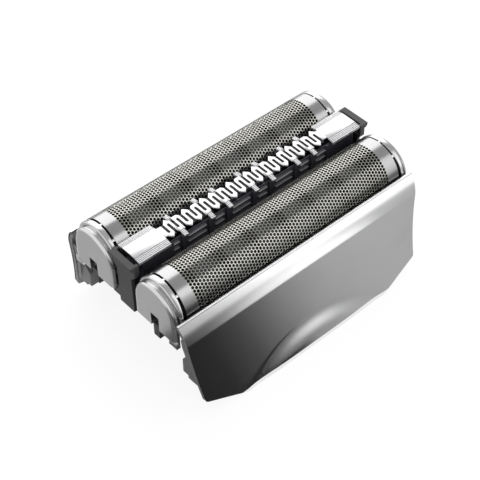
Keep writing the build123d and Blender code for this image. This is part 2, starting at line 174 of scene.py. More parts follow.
class CombSizes(bpy.types.PropertyGroup):
    """Trimmer comb with its ridged plates, and the ledges of its carrier."""

    turns: whole("Turns", 18, "Loops on each side of the comb")
    comb_length: length("Length", 29.52, "Length of the serpentine")
    slot: length("Slot", 0.44, "Width of a slot")
    reach: length("Reach", 0.79, "Half length of a slot")
    tip: length("Tip", 1.73, "Reach of a gabled loop")
    eave: length("Eave", 1.03, "Reach of a gabled loop beside the slots")
    flat: length("Flat", 1.4, "Reach of a blunt loop")
    blunt: length("Blunt run", 0.3, "Length of a blunt loop's top past its middle")
    neck: length("Neck", 0.64, "Length of the necks between the serpentine and the plates")
    lap: length("Lap", 0.06, "Length of the necks inside the plates")
    thickness: length("Thickness", 0.2, "Thickness of the comb")
    tab_width: length("Tab width", 0.74, "Width of a ridged tab")
    plate_flat: length("Plate flat", 1.38, "Half width of the end plate's flat top")
    ridges: whole("Ridges", 4, "Ridges of a tab or of a plate's edge", 1)
    tread: length("Tread", 0.25, "Distance between neighbouring ridges")
    rise: length("Rise", 0.045, "Drop from one ridge to the next")
    valley: length("Valley", 0.19, "Depth between the ridges")
    hem: length("Hem", 0.45, "Depth of the plate's hem below its last ridge")
    ledge: length("Ledge", 0.07, "Thickness of a ledge")
    ledge_upper: length("Upper ledge", 1.52, "Depth of the upper ledge below the comb")
    ledge_lower: length("Lower ledge", 2.62, "Depth of the lower ledge below the comb")
    ledge_depth: length("Ledge depth", 0.3, "Depth of a ledge")
    post: length("Post", 0.8, "Half width of the gap between the ledges at a post")


class FinishColours(bpy.types.PropertyGroup):
    """Colours of the finishes."""

    chrome: colour("Chrome", (0.85, 0.85, 0.86), "Skirts")
    foil: colour("Foil", (0.66, 0.654, 0.608), "Perforated foil")
    band: colour("Band", (0.56, 0.56, 0.56), "Plain ends of the foils")
    cap: colour("Cap", (0.75, 0.75, 0.755), "End caps")
    tower: colour("Tower", (0.055, 0.055, 0.057), "Centre frame")
    frame: colour("Frame", (0.23, 0.23, 0.232), "Cassette frame")
    comb: colour("Comb", (0.86, 0.86, 0.87), "Trimmer comb")
    carrier: colour("Carrier", (0.058, 0.054, 0.068), "Trimmer carrier")
    # The ledges' light grey is a painted highlight: it stands for light caught along the edges of the black
    # carrier's ledges
    ledge: colour("Ledge", (0.50, 0.50, 0.51), "Edges of the carrier's ledges")
    # Steel is near black as painted shade, so the blades seen through the foil's holes read as the dark
    # inside of the head
    steel: colour("Steel", (0.05, 0.049, 0.046), "Blades and springs")
    toothed: colour("Toothed strip", (0.09, 0.09, 0.095), "Blade under the comb")
    inner: colour("Inner", (0.02, 0.02, 0.021), "Cradles and cutter cores")
    floor: colour("Floor", (0.86, 0.86, 0.86), "Studio floor")


class StageSettings(bpy.types.PropertyGroup):
    """Camera and light."""

    lens: FloatProperty(name="Lens", description="Focal length", default=93.85, unit="CAMERA")
    azimuth: degrees("Azimuth", -40.836, "Turn of the view")
    elevation: degrees("Elevation", 45.973, "Tilt of the view")
    roll: degrees("Roll", -0.896, "Roll of the view")
    place: FloatVectorProperty(
        name="Place",
        description="Place of the camera",
        default=(-85.748 * MM, -98.068 * MM, 143.827 * MM),
        subtype="TRANSLATION",
    )
    key: watts("Key", 1.55, "Power of the rear softbox")
    fill: watts("Fill", 0.8, "Power of the front softbox")
    top: watts("Top", 2.4, "Power of the top softbox")
    sky: FloatProperty(name="Sky", description="Strength of the even light", default=0.33)


# Small tools for modelling


def rest():
    """Leaves edit mode and selects nothing."""
    if bpy.context.mode != "OBJECT":
        bpy.ops.object.mode_set(mode="OBJECT")
    bpy.ops.object.select_all(action="DESELECT")


def focus(*pieces):
    """Selects only these pieces, the first one active."""
    rest()
    for piece in pieces:
        piece.select_set(True)
    bpy.context.view_layer.objects.active = pieces[0]


def edit(piece):
    """Opens a piece in edit mode with all of it selected."""
    focus(piece)
    bpy.ops.object.mode_set(mode="EDIT")
    bpy.ops.mesh.select_all(action="SELECT")


def pick(kind, test):
    """Selects the vertices, edges or faces that pass a test in the mesh that is open."""
    bpy.ops.mesh.select_mode(type={"verts": "VERT", "edges": "EDGE", "faces": "FACE"}[kind])
    bpy.ops.mesh.select_all(action="DESELECT")
    mesh = bmesh.from_edit_mesh(bpy.context.object.data)
    for part in getattr(mesh, kind):
        if test(part):
            part.select_set(True)
    bmesh.update_edit_mesh(bpy.context.object.data)


def move(x, y, z):
    """Moves what is selected."""
    bpy.ops.transform.translate(value=(x, y, z))


def apply(piece, kind, **settings):
    """Adds a modifier and applies it."""
    focus(piece)
    modifier = piece.modifiers.new(kind.title(), kind)
    for name, value in settings.items():
        setattr(modifier, name, value)
    bpy.ops.object.modifier_apply(modifier=modifier.name)


def settle(piece):
    """Puts a piece's place, turn and scale into its mesh."""
    focus(piece)
    bpy.ops.object.transform_apply(location=True, rotation=True, scale=True)


def array(piece, count, step, **settings):
    """Repeats a piece along a step and applies that."""
    apply(
        piece, "ARRAY", count=count, use_relative_offset=False, use_constant_offset=True,
        constant_offset_displace=step, **settings,
    )


def flip(piece):
    """Turns a piece's faces round."""
    edit(piece)
    bpy.ops.mesh.flip_normals()
    rest()


def grid(columns, rows):
    """A square of two units in columns along X and rows along Y."""
    rest()
    bpy.ops.mesh.primitive_grid_add(x_subdivisions=columns, y_subdivisions=rows, size=2)
    return bpy.context.object


def outward(piece):
    """Merges doubles and turns all faces of a closed piece outward."""
    edit(piece)
    bpy.ops.mesh.remove_doubles(threshold=MERGE)
    bpy.ops.mesh.normals_make_consistent(inside=False)
    rest()


def joined(pieces, name):
    """Joins pieces into the first one."""
    focus(*pieces)
    bpy.ops.object.join()
    piece = bpy.context.object
    piece.name = name
    piece.data.name = name
    return piece


def copied(piece, name, scale=(1, 1, 1), shift=(0, 0, 0)):
    """A copy with its own mesh, mirrored or moved."""
    focus(piece)
    bpy.ops.object.duplicate(linked=False)
    twin = bpy.context.object
    twin.name = name
    twin.data.name = name
    twin.scale = scale
    twin.location = shift
    settle(twin)
    if scale[0] * scale[1] * scale[2] < 0:
        flip(twin)
    return twin


def smooth(piece, angle):
    """Shades smooth up to an angle between faces."""
    focus(piece)
    bpy.ops.object.shade_smooth_by_angle(angle=math.radians(angle))


def dress(piece, material, body, slot, *nodes):
    """Gives a piece its finish and its body, and hides the solids that it stands for."""
    piece.data.materials.clear()
    piece.data.materials.append(material)
    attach(piece, body)
    if nodes:
        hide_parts(*nodes)


# Finishes


def feed(owner, item, inputs):
    """Gives a node's inputs their values, or links them to other nodes or to their outputs."""
    for name, value in inputs.items():
        if isinstance(value, bpy.types.Node):
            value = next(socket for socket in value.outputs if socket.enabled)
        if isinstance(value, bpy.types.NodeSocket):
            owner.node_tree.links.new(value, item.inputs[name])
        else:
            item.inputs[name].default_value = value


def new_node(material, kind, inputs=None, **settings):
    """A new shader node with its settings and inputs."""
    item = material.node_tree.nodes.new("ShaderNode" + kind)
    for name, value in settings.items():
        setattr(item, name, value)
    feed(material, item, inputs or {})
    return item


def tints():
    """The scene's finish colours."""
    return bpy.context.scene.finish_colours


# Depth of the grain, and where the colour drift starts and stops in its noise
GRAIN_DEPTH = 0.01 * MM
DRIFT_LOW = 0.3
DRIFT_HIGH = 0.7


def finish_material(name, tint, metallic, roughness, grain, bump, spread, spread_scale):
    """A finish with a little colour drift, roughness drift and fine surface grain."""
    material = bpy.data.materials.new(name)
    material.use_nodes = True
    place = new_node(material, "TexCoord").outputs["Object"]
    drift = new_node(material, "TexNoise", {"Vector": place, "Scale": spread_scale, "Detail": 3.0})
    ramp = new_node(material, "ValToRGB", {"Fac": drift})
    low, high = ramp.color_ramp.elements
    low.position = DRIFT_LOW
    high.position = DRIFT_HIGH
    low.color = [value * (1 - spread) for value in tint] + [1]
    high.color = [min(1, value * (1 + spread)) for value in tint] + [1]
    limits = {"To Min": roughness * (1 - 2 * spread), "To Max": roughness * (1 + 2 * spread)}
    rough = new_node(material, "MapRange", {"Value": drift, **limits})
    height = new_node(material, "TexNoise", {"Vector": place, "Scale": grain, "Detail": 4.0})
    relief = new_node(material, "Bump", {"Height": height, "Strength": bump, "Distance": GRAIN_DEPTH})
    surface = {"Metallic": metallic, "Base Color": ramp, "Roughness": rough, "Normal": relief}
    feed(material, material.node_tree.nodes["Principled BSDF"], surface)
    return material


# Finishes by colour: material, metallic, roughness, grain scale and strength, drift and drift scale
FINISHES = {
    "chrome": ("satin_chrome", 1.0, 0.22, 30000.0, 0.05, 0.02, 200.0),
    "cap": ("cap_satin", 1.0, 0.25, 16000.0, 0.08, 0.02, 400.0),
    "tower": ("tower_plastic", 0.0, 0.42, 9000.0, 0.35, 0.05, 700.0),
    "frame": ("frame_plastic", 0.0, 0.45, 9000.0, 0.35, 0.05, 700.0),
    "comb": ("comb_metal", 0.85, 0.3, 20000.0, 0.1, 0.02, 500.0),
    "carrier": ("carrier_gloss", 0.0, 0.18, 9000.0, 0.12, 0.1, 600.0),
    # Ledges: a light finish as painted highlight on the carrier's black ledges
    "ledge": ("ledge_sheen", 0.6, 0.25, 9000.0, 0.1, 0.05, 600.0),
    # Steel: near black as painted shade for the inside of the head seen through the foil's holes
    "steel": ("dark_steel", 1.0, 0.3, 12000.0, 0.2, 0.05, 900.0),
    "toothed": ("toothed_steel", 0.9, 0.4, 12000.0, 0.2, 0.05, 900.0),
    "inner": ("inner_plastic", 0.0, 0.5, 9000.0, 0.3, 0.1, 700.0),
}
CARRIER_COAT = {"Coat Weight": 0.4, "Coat Roughness": 0.08}


def finish(key):
    """The finish in the scene's colour of that name."""
    name, *values = FINISHES[key]
    material = bpy.data.materials.get(name)
    if material:
        return material
    material = finish_material(name, getattr(tints(), key), *values)
    if key == "carrier":
        feed(material, material.node_tree.nodes["Principled BSDF"], CARRIER_COAT)
    return material


# Where the foil's tint changes to the plain ends', and where painted shade darkens it toward the feet
BAND_START = 2.3 * MM
BAND_STOP = 2.0 * MM
FEET_SHADE_LOW = 1.6 * MM
FEET_SHADE_HIGH = 3.3 * MM
FEET_SHADE_LEVEL = 0.4


def foil_finish():
    """Foil metal with painted shade that darkens it toward the feet of the arch, and of another tint on the
    plain ends.
    """
    material = finish_material("foil_metal", (1, 1, 1), 1.0, 0.22, 14000.0, 0.1, 0.04, 500.0)
    shader = material.node_tree.nodes["Principled BSDF"]
    drift = shader.inputs["Base Color"].links[0].from_socket
    place = new_node(material, "TexCoord").outputs["Object"]
    split = new_node(material, "SeparateXYZ", {"Vector": place}).outputs
    along = new_node(material, "Math", {0: split["X"]}, operation="ABSOLUTE")
    limits = {"From Min": FOIL_END - BAND_START, "From Max": FOIL_END - BAND_STOP}
    ends = new_node(material, "MapRange", {"Value": along, **limits})
    colours = {"Factor": ends, "A": (*tints().foil, 1), "B": (*tints().band, 1)}
    tint = new_node(material, "Mix", colours, data_type="RGBA")
    # Painted shade: the base colour darkens toward the feet of the arch, down beside the skirts' rims
    limits = {"From Min": FOIL_AXIS + FEET_SHADE_LOW, "From Max": FOIL_AXIS + FEET_SHADE_HIGH, "To Min": FEET_SHADE_LEVEL}
    flank = new_node(material, "MapRange", {"Value": split["Z"], **limits})
    feet_shaded = new_node(material, "VectorMath", {"Vector": tint, "Scale": flank}, operation="SCALE")
    both = new_node(material, "VectorMath", {0: feet_shaded, 1: drift}, operation="MULTIPLY")
    feed(material, shader, {"Base Color": both})
    return material


# Foils


def column_width(sizes):
    """Distance between neighbouring columns of holes along the foil."""
    return sizes.pitch * math.sqrt(3) / 2 * sizes.stretch


def perforated_cell(sizes):
    """Two hexagonal cells with a round hole each, the start of the foil's pattern."""
    rest()
    bpy.ops.mesh.primitive_circle_add(vertices=6, radius=sizes.pitch / math.sqrt(3), fill_type="NGON")
    sheet = bpy.context.object
    edit(sheet)
    bpy.ops.transform.resize(value=(1, sizes.stretch, 1))
    bpy.ops.mesh.subdivide(number_cuts=1)
    bpy.ops.mesh.select_mode(type="FACE")
    bpy.ops.mesh.select_all(action="SELECT")
    bpy.ops.mesh.inset(thickness=sizes.pitch / 8)
    bpy.ops.transform.tosphere(value=1.0)
    mesh = bmesh.from_edit_mesh(sheet.data)
    inner = [vertex.co.length for vertex in mesh.verts if vertex.select]
    factor = sizes.hole * len(inner) / sum(inner)
    bpy.ops.transform.resize(value=(factor, factor, factor))
    bpy.ops.mesh.delete(type="ONLY_FACE")
    bpy.ops.mesh.select_all(action="SELECT")
    shift = (sizes.pitch / 2, column_width(sizes), 0)
    bpy.ops.mesh.duplicate_move(TRANSFORM_OT_translate={"value": shift})
    rest()
    return sheet


def trim(sheet, normal, low, high):
    """Cuts a sheet square at two places along a direction."""
    for place, sign in ((low, -1), (high, 1)):
        edit(sheet)
        direction = Vector(normal)
        bpy.ops.mesh.bisect(
            plane_co=direction * place, plane_no=direction * sign, clear_outer=True, threshold=FOIL_CUT
        )
        rest()


def foil_sheet(sizes):
    """The flat perforated sheet with a plain band at each end: X round the arch, Y along the foil."""
    sheet = perforated_cell(sizes)
    column = column_width(sizes)
    pairs = sizes.columns // 2 + 1
    merge = {"use_merge_vertices": True, "merge_threshold": FOIL_MERGE}
    array(sheet, pairs, (0, 2 * column, 0), **merge)
    array(sheet, sizes.rows, (sizes.pitch, 0, 0), **merge)
    edit(sheet)
    bpy.ops.mesh.remove_doubles(threshold=FOIL_MERGE)
    round_middle = (sizes.rows - 0.5) * sizes.pitch / 2
    long_middle = (sizes.columns + 1) * column / 2
    move(-round_middle, -long_middle, 0)
    rest()
    half_long = sizes.columns * column / 2
    half_round = FOIL_RADIUS * sizes.wrap / 2
    trim(sheet, (0, 1, 0), -half_long, half_long)
    trim(sheet, (1, 0, 0), -half_round, half_round)
    for sign in (-1, 1):
        edit(sheet)
        pick("edges", lambda edge: all(abs(v.co.y - sign * half_long) < ON_PLANE for v in edge.verts))
        shift = (0, sign * (FOIL_END - half_long), 0)
        bpy.ops.mesh.extrude_edges_move(TRANSFORM_OT_translate={"value": shift})
        rest()
    return sheet


# Lap of a foil's legs with its arch, and their inset in sheet thicknesses
LEG_LAP = 0.25 * MM
LEG_INSET = 1.2


def add_legs(sheet, sizes):
    """Adds the plain strips that go down from the arch's edges."""
    reach = FOIL_RADIUS - LEG_INSET * sizes.thickness
    top = FOIL_AXIS - FOIL_RADIUS * math.sin(sizes.wrap / 2 - math.pi / 2) + LEG_LAP
    legs = []
    for sign in (-1, 1):
        rest()
        bpy.ops.mesh.primitive_plane_add(size=1)
        leg = bpy.context.object
        leg.scale = (2 * FOIL_END, sizes.leg, 1)
        leg.rotation_euler = (math.pi / 2, 0, 0 if sign < 0 else math.pi)
        leg.location = (0, FOIL_Y + sign * reach, top - sizes.leg / 2)
        settle(leg)
        legs.append(leg)
    return joined([sheet] + legs, sheet.name)


class FOILHEAD_OT_foils(bpy.types.Operator):
    """Models the finely perforated arched foils"""

    bl_idname = "foilhead.foils"
    bl_label = "Foils"

    def execute(self, context):
        sizes = context.scene.foil_sizes
        sheet = foil_sheet(sizes)
        sheet.rotation_euler = (math.pi / 2, 0, 0)
        settle(sheet)
        apply(sheet, "SIMPLE_DEFORM", deform_method="BEND", deform_axis="Z", angle=sizes.wrap)
        turn = Matrix(((0, 0, 1, 0), (-1, 0, 0, 0), (0, -1, 0, 0), (0, 0, 0, 1)))
        sheet.matrix_world = Matrix.Translation((0, FOIL_Y, FOIL_AXIS + FOIL_RADIUS)) @ turn
        settle(sheet)
        middle = Vector((0, FOIL_Y, FOIL_AXIS))
        lean = sum(face.normal.dot(face.center - middle) for face in sheet.data.polygons)
        if lean < 0:
            flip(sheet)
        sheet = add_legs(sheet, sizes)
        apply(sheet, "SOLIDIFY", thickness=sizes.thickness, offset=-1.0)
        sheet.name = "fine_foil_rear"
        smooth(sheet, 30.0)
        front = copied(sheet, "fine_foil_front", shift=(0, -2 * FOIL_Y, 0))
        metal = foil_finish()
        dress(sheet, metal, "rear_cartridge", "foil_steel", "rear_foil")
        dress(front, metal, "front_cartridge", "foil_steel", "front_foil")
        return {"FINISHED"}


# End caps: rounded edges, laps into the neighbours, and the links' lean and depth below the foil
ARCH_SIDES = 96
FACE_INSET = 0.03 * MM
RING_ROUND = 0.26 * MM
RING_SOFT = 0.14 * MM
RING_SPARE = 0.4 * MM
PLATE_SOFT = 0.12 * MM
HUB_LAP = 0.1 * MM
TAB_LAP = 0.2 * MM
TAB_SOFT = 0.08 * MM
LINK_LEANS = (-38.0, 0.0, 38.0)
LINK_LOW = 0.35 * MM
LINK_HIGH = 0.06 * MM
LINK_LAP = 0.05 * MM


def on_rim(edge, place, normal, foot):
    """Whether an edge bounds the face on a plane, above the foot."""
    flat = all(abs((vertex.co - place).dot(normal)) < ON_SLANT for vertex in edge.verts)
    beside = [abs(face.normal.dot(normal)) > 0.99 for face in edge.link_faces]
    height = sum(vertex.co.z for vertex in edge.verts) / 2
    return flat and beside.count(True) == 1 and height > foot + ABOVE


def arch_block(radius, axis, foot, x0, x1, rounds, segments=5):
    """A block with a half-round top over straight sides, with rounded rims on the sides asked for."""
    rest()
    bpy.ops.mesh.primitive_cylinder_add(
        vertices=ARCH_SIDES, radius=radius, depth=x1 - x0,
        location=((x0 + x1) / 2, FOIL_Y, axis), rotation=(0, math.pi / 2, 0),
    )
    block = bpy.context.object
    settle(block)
    edit(block)
    bpy.ops.mesh.bisect(plane_co=(0, 0, axis), plane_no=(0, 0, -1), use_fill=True, clear_outer=True)
    pick("faces", lambda face: face.normal.z < -0.9)
    bpy.ops.mesh.extrude_region_move(TRANSFORM_OT_translate={"value": (0, 0, foot - axis)})
    bpy.ops.mesh.select_all(action="SELECT")
    bpy.ops.mesh.remove_doubles(threshold=MERGE)
    bpy.ops.mesh.dissolve_limited(angle_limit=math.radians(1.0))
    bpy.ops.mesh.normals_make_consistent(inside=False)
    for x, size in zip((x0, x1), rounds):
        if not size:
            continue
        place = Vector((x, 0, 0))
        pick("edges", lambda edge: on_rim(edge, place, Vector((1, 0, 0)), foot))
        bpy.ops.mesh.bevel(offset=size, segments=segments, profile=0.5, clamp_overlap=False)
        pick("faces", lambda face: all(abs(v.co.x - x) < ON_PLANE for v in face.verts))
        bpy.ops.mesh.inset(thickness=FACE_INSET, use_even_offset=True)
    rest()
    return block


def soft_box(low, high, round_size, segments=2):
    """A block between two corners with softened edges."""
    rest()
    bpy.ops.mesh.primitive_cube_add(size=1)
    block = bpy.context.object
    low = Vector(low)
    high = Vector(high)
    block.scale = high - low
    block.location = (low + high) / 2
    settle(block)
    edit(block)
    bpy.ops.mesh.bevel(offset=round_size, segments=segments, clamp_overlap=True)
    rest()
    return block


def cut(piece, cutter):
    """Takes a cutter's shape out of a piece."""
    apply(piece, "BOOLEAN", operation="DIFFERENCE", solver="EXACT", object=cutter)
    bpy.data.objects.remove(cutter)


def slanted(piece, low, high):
    """Cuts the inner end of a piece along a plane through two places in X and Z, and returns the plane."""
    run = Vector(low) - Vector(high)
    normal = Vector((run.z, 0, -run.x)).normalized()
    edit(piece)
    bpy.ops.mesh.bisect(plane_co=low, plane_no=normal, use_fill=True, clear_outer=True, threshold=SLANT_CUT)
    rest()
    return Vector(low), normal


def round_rim(piece, place, normal, foot, size):
    """Rounds the edges that lie on a plane, apart from those at the foot."""
    edit(piece)
    pick("edges", lambda edge: on_rim(edge, place, normal, foot))
    bpy.ops.mesh.bevel(offset=size, segments=5, profile=0.5, clamp_overlap=False)
    rest()


def ring_model(sizes, ring_in, ring_out, foot):
    """Ring flange: broader at its crest, with rounded rims."""
    crest_in = FOIL_END + sizes.crest_gap
    top = FOIL_AXIS + FOIL_RADIUS
    start = crest_in - RING_SPARE
    ring = arch_block(FOIL_RADIUS, FOIL_AXIS, foot, start, ring_out, (0, RING_ROUND))
    place, normal = slanted(ring, (ring_in, 0, foot), (crest_in, 0, top))
    round_rim(ring, place, normal, foot, RING_SOFT)
    outward(ring)
    return ring


def cap_model(sizes):
    """Rear right cap: rounded plate with its slot, hub, ring flange, corner tab and links to the foil."""
    ring_in = FOIL_END + sizes.ring_gap
    ring_out = ring_in + sizes.ring_width
    plate_in = ring_out + sizes.groove
    plate_out = CAP_HIGH.x
    axis = RIM - sizes.plate_drop
    foot = RIM - sizes.plate_foot
    ring_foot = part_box("rear_cradle")[0].z
    stretch = sizes.plate_round / sizes.round_depth
    rounds = (PLATE_SOFT, sizes.plate_round)
    deep = (plate_out - plate_in) * stretch
    plate = arch_block(sizes.plate_radius, axis, foot, 0, deep, rounds, 8)
    plate.scale.x = 1 / stretch
    plate.location.x = plate_in
    settle(plate)
    half = sizes.slot_width / 2
    slot = soft_box(
        (plate_in - MM, FOIL_Y - half, foot - MM),
        (plate_out + MM, FOIL_Y + half, foot + sizes.slot_height),
        PLATE_SOFT,
    )
    cut(plate, slot)
    outward(plate)
    ring = ring_model(sizes, ring_in, ring_out, ring_foot)
    radius = FOIL_RADIUS - sizes.hub_shrink
    hub = arch_block(radius, FOIL_AXIS, ring_foot, ring_out - HUB_LAP, plate_in + HUB_LAP, (0, 0))
    outer = FOIL_Y + sizes.plate_radius
    low = (plate_in, outer - sizes.tab_width, foot - sizes.tab_depth)
    tab = soft_box(low, (plate_out, outer, foot + TAB_LAP), TAB_SOFT)
    links = []
    for lean in LINK_LEANS:
        low = (FOIL_END - LINK_LAP, -sizes.nub / 2, FOIL_RADIUS - LINK_LOW)
        link = soft_box(low, (ring_in, sizes.nub / 2, FOIL_RADIUS - LINK_HIGH), LINK_LAP)
        turn = Matrix.Rotation(math.radians(lean), 4, "X")
        link.matrix_world = Matrix.Translation((0, FOIL_Y, FOIL_AXIS)) @ turn
        settle(link)
        links.append(link)
    return joined([plate, ring, hub, tab] + links, "round_cap_rear_right")


class FOILHEAD_OT_caps(bpy.types.Operator):
    """Models the four rounded end caps of the cartridges"""

    bl_idname = "foilhead.caps"
    bl_label = "End caps"

    def execute(self, context):
        first = cap_model(context.scene.cap_sizes)
        smooth(first, 40.0)
        for row, across in (("rear", 1), ("front", -1)):
            for end, along in (("right", 1), ("left", -1)):
                name = "round_cap_" + row + "_" + end
                cap = first
                if name != first.name:
                    cap = copied(first, name, scale=(along, across, 1))
                dress(cap, finish("cap"), row + "_cartridge", "cap_grey", row + "_" + end + "_cap")
        return {"FINISHED"}


# Skirts: corners of the rim in millimetres past the lip's inner or outer edge and below the rim
LIP_INNER = ((0.0, 0.03), (0.04, 0.0))
LIP_OUTER = ((-0.05, 0.0), (0.0, 0.05), (0.0, 0.1))
LINE_DROPS = (0.13, 0.17)
SHOULDER_START = (0.01, 0.2)

# Steps of the skirt's grid, softening of the crease, start of the scoop's ramp, and the backing's place
SHOULDER_STEPS = 24
FACE_STEPS = 64
SKIRT_COLUMNS = 160
CREASE_SOFT = 0.3
RAMP_START = 0.8
BACKING_DROP = 0.3 * MM
BACKING_INSET = 0.06 * MM


def arc_through(first, middle, last, count):
    """Points on the circle through three points, in Y and Z, reckoned as complex numbers."""
    a, b, c = (complex(*point) for point in (first, middle, last))
    ratio = (c - a) / (b - a)
    hub = a + (b - a) * (ratio - abs(ratio) ** 2) / (2j * ratio.imag)
    turn = cmath.phase((c - hub) / (a - hub))
    points = [hub + (a - hub) * cmath.exp(1j * turn * index / count) for index in range(count + 1)]
    return [(point.real, point.imag) for point in points]


def skirt_section(sizes):
    """Outer line of a skirt from the rim down, in Y and Z: flat lip, fine line, shoulder, flared face."""
    edge = COVER_LOW.y + sizes.lip
    top = [(COVER_LOW.y + run * MM, RIM - drop * MM) for run, drop in LIP_INNER]
    top += [(edge + run * MM, RIM - drop * MM) for run, drop in LIP_OUTER]
    top += [(edge - sizes.groove, RIM - drop * MM) for drop in LINE_DROPS]
    start = (edge + SHOULDER_START[0] * MM, RIM - SHOULDER_START[1] * MM)
    crease = (edge + sizes.shoulder_depth, RIM - sizes.shoulder_drop)
    chord = Vector((crease[0] - start[0], crease[1] - start[1]))
    normal = Vector((-chord.y, chord.x)).normalized()
    middle = Vector(start) + chord / 2 + normal * sizes.shoulder_bulge
    shoulder = arc_through(start, tuple(middle), crease, SHOULDER_STEPS)
    foot = (COVER_HIGH.y, 0.0)
    corner = (COVER_HIGH.y - sizes.foot_depth, sizes.corner_height)
    face = arc_through(crease, corner, foot, FACE_STEPS)
    above = Vector(crease).lerp(Vector(shoulder[-2]), CREASE_SOFT)
    below = Vector(crease).lerp(Vector(face[1]), CREASE_SOFT)
    return top + shoulder[:-1] + [tuple(above), tuple(below)] + face[1:]


def soft_min(first, second, width):
    """The lower of two values with a rounded change between them."""
    share = max(0.0, min(1.0, 0.5 + 0.5 * (second - first) / width))
    return second + (first - second) * share - width * share * (1 - share)


def half_length(z, sizes):
    """Half length of a skirt at a height."""
    corner = COVER_HIGH.x - sizes.corner_inset
    taper = corner + (COVER_HIGH.x - corner) * (z - sizes.corner_height) / (RIM - sizes.corner_height)
    slant = corner + sizes.foot_inset * (z - sizes.corner_height) / sizes.corner_height
    return soft_min(taper, slant, sizes.corner_round)


def ease(value):
    """Smooth step from 0 to 1."""
    value = max(0.0, min(1.0, value))
    return value * value * (3 - 2 * value)


def scoop_offset(x, z, sizes):
    """Depth of the thumb scoop on the face: upper wall and a long ramp, running out to both sides."""
    drop = sizes.scoop_radius - sizes.scoop_height
    inward = sizes.scoop_radius - math.hypot(x, z + drop)
    wall = ease(inward / sizes.scoop_wall)
    ramp = 1 - ease((inward - RAMP_START * sizes.scoop_wall) / sizes.scoop_ramp)
    fade = max(0.0, 1 - (x / sizes.scoop_reach) ** 2)
    return sizes.scoop_depth * wall * ramp * fade


def skirt_sheet(sizes, section, inset):
    """Outer face of the rear skirt, shaped from a grid, with its ends drawn in."""
    rows = len(section) - 1
    sheet = grid(SKIRT_COLUMNS, rows)
    for vertex in sheet.data.vertices:
        y, z = section[round((1 - vertex.co.y) / 2 * rows)]
        x = vertex.co.x * (half_length(z, sizes) - inset)
        vertex.co = (x, y - scoop_offset(x, z, sizes), z)
    if sum(face.normal.y for face in sheet.data.polygons) < 0:
        flip(sheet)
    return sheet


def stand_flat(piece):
    """Levels what reaches below the floor."""
    edit(piece)
    pick("verts", lambda vertex: vertex.co.z < 0)
    bpy.ops.transform.resize(value=(1, 1, 0), center_override=(0, 0, 0))
    rest()


def skirt_skin(sizes):
    """Chromed skin of the rear skirt."""
    skin = skirt_sheet(sizes, skirt_section(sizes), 0)
    apply(skin, "SOLIDIFY", thickness=sizes.skin, offset=-1.0, use_even_offset=False)
    stand_flat(skin)
    skin.name = "chrome_skirt_rear"
    smooth(skin, 32.0)
    return skin


def skirt_backing(sizes):
    """Grey moulding behind the rear skin, seen at the skirt's ends."""
    section = [point for point in skirt_section(sizes) if point[1] < RIM - BACKING_DROP]
    backing = skirt_sheet(sizes, section, BACKING_INSET)
    edit(backing)
    bpy.ops.transform.shrink_fatten(value=-(sizes.skin + sizes.seam))
    rest()
    depth = sizes.wall - sizes.skin - sizes.seam
    apply(backing, "SOLIDIFY", thickness=depth, offset=-1.0, use_even_offset=False)
    stand_flat(backing)
    backing.name = "skirt_backing_rear"
    smooth(backing, 32.0)
    return backing


class FOILHEAD_OT_skirts(bpy.types.Operator):
    """Models the chromed skirts with rim line, shoulder and thumb scoop, and their grey backing"""

    bl_idname = "foilhead.skirts"
    bl_label = "Skirts"

    def execute(self, context):
        rear = skirt_skin(context.scene.skirt_sizes)
        front = copied(rear, "chrome_skirt_front", scale=(1, -1, 1))
        dress(rear, finish("chrome"), "frame", "skirt_chrome", "rear_cover")
        dress(front, finish("chrome"), "frame", "skirt_chrome", "front_cover")
        rear = skirt_backing(context.scene.skirt_sizes)
        front = copied(rear, "skirt_backing_front", scale=(1, -1, 1))
        dress(rear, finish("frame"), "frame", "frame_grey")
        dress(front, finish("frame"), "frame", "frame_grey")
        return {"FINISHED"}


# Trimmer comb: the turns with tabs, the slots' places in a turn, and small laps and edges
RIGHT_TAB = 1
LEFT_TAB = 4
TAB_CYCLE = 5
REAR_SLOT = 0.25
FRONT_SLOT = 0.75
SLOT_LAP = 0.02 * MM
COMB_SOFT = 0.04 * MM
COMB_BEVEL = 0.03 * MM
BAR_START = 0.36
WEB_INSET = 0.03 * MM
WEB_LAP = 0.06 * MM
WEB_DEPTH = 0.08 * MM
WEB_SOFT = 0.01 * MM
HEM_WIDTH = 0.2 * MM
HEM_GAP = 0.05 * MM
LEDGE_INSET = 0.02 * MM
LEDGE_SOFT = 0.03 * MM


def comb_place(sizes, turn):
    """Place along X after a number of turns."""
    return (turn / sizes.turns - 0.5) * sizes.comb_length


def tab_places(sizes):
    """Places of the ridged tabs along X."""
    turns = [index for index in range(sizes.turns) if index % TAB_CYCLE in (RIGHT_TAB, LEFT_TAB)]
    return [comb_place(sizes, index + REAR_SLOT) for index in turns]


def rear_line(sizes):
    """Corners of the comb's rear edge as places along X and reaches: gables, and blunt loops at the tabs."""
    inside = sizes.slot / 2 - SLOT_LAP
    run = sizes.eave - sizes.reach
    line = []
    for index in range(sizes.turns):
        turn = index % TAB_CYCLE
        slot = comb_place(sizes, index + REAR_SLOT)
        ridge = comb_place(sizes, index + FRONT_SLOT)
        line.append((slot - inside, sizes.flat if turn == LEFT_TAB else sizes.eave))
        line.append((slot + inside, sizes.flat if turn == RIGHT_TAB else sizes.eave))
        if turn == RIGHT_TAB:
            line.append((ridge + sizes.blunt, sizes.flat))
        elif turn + 1 == LEFT_TAB:
            line.append((ridge - sizes.blunt, sizes.flat))
        else:
            line.append((ridge, sizes.tip))
    return line + [(sizes.comb_length / 2 + run, sizes.eave)]


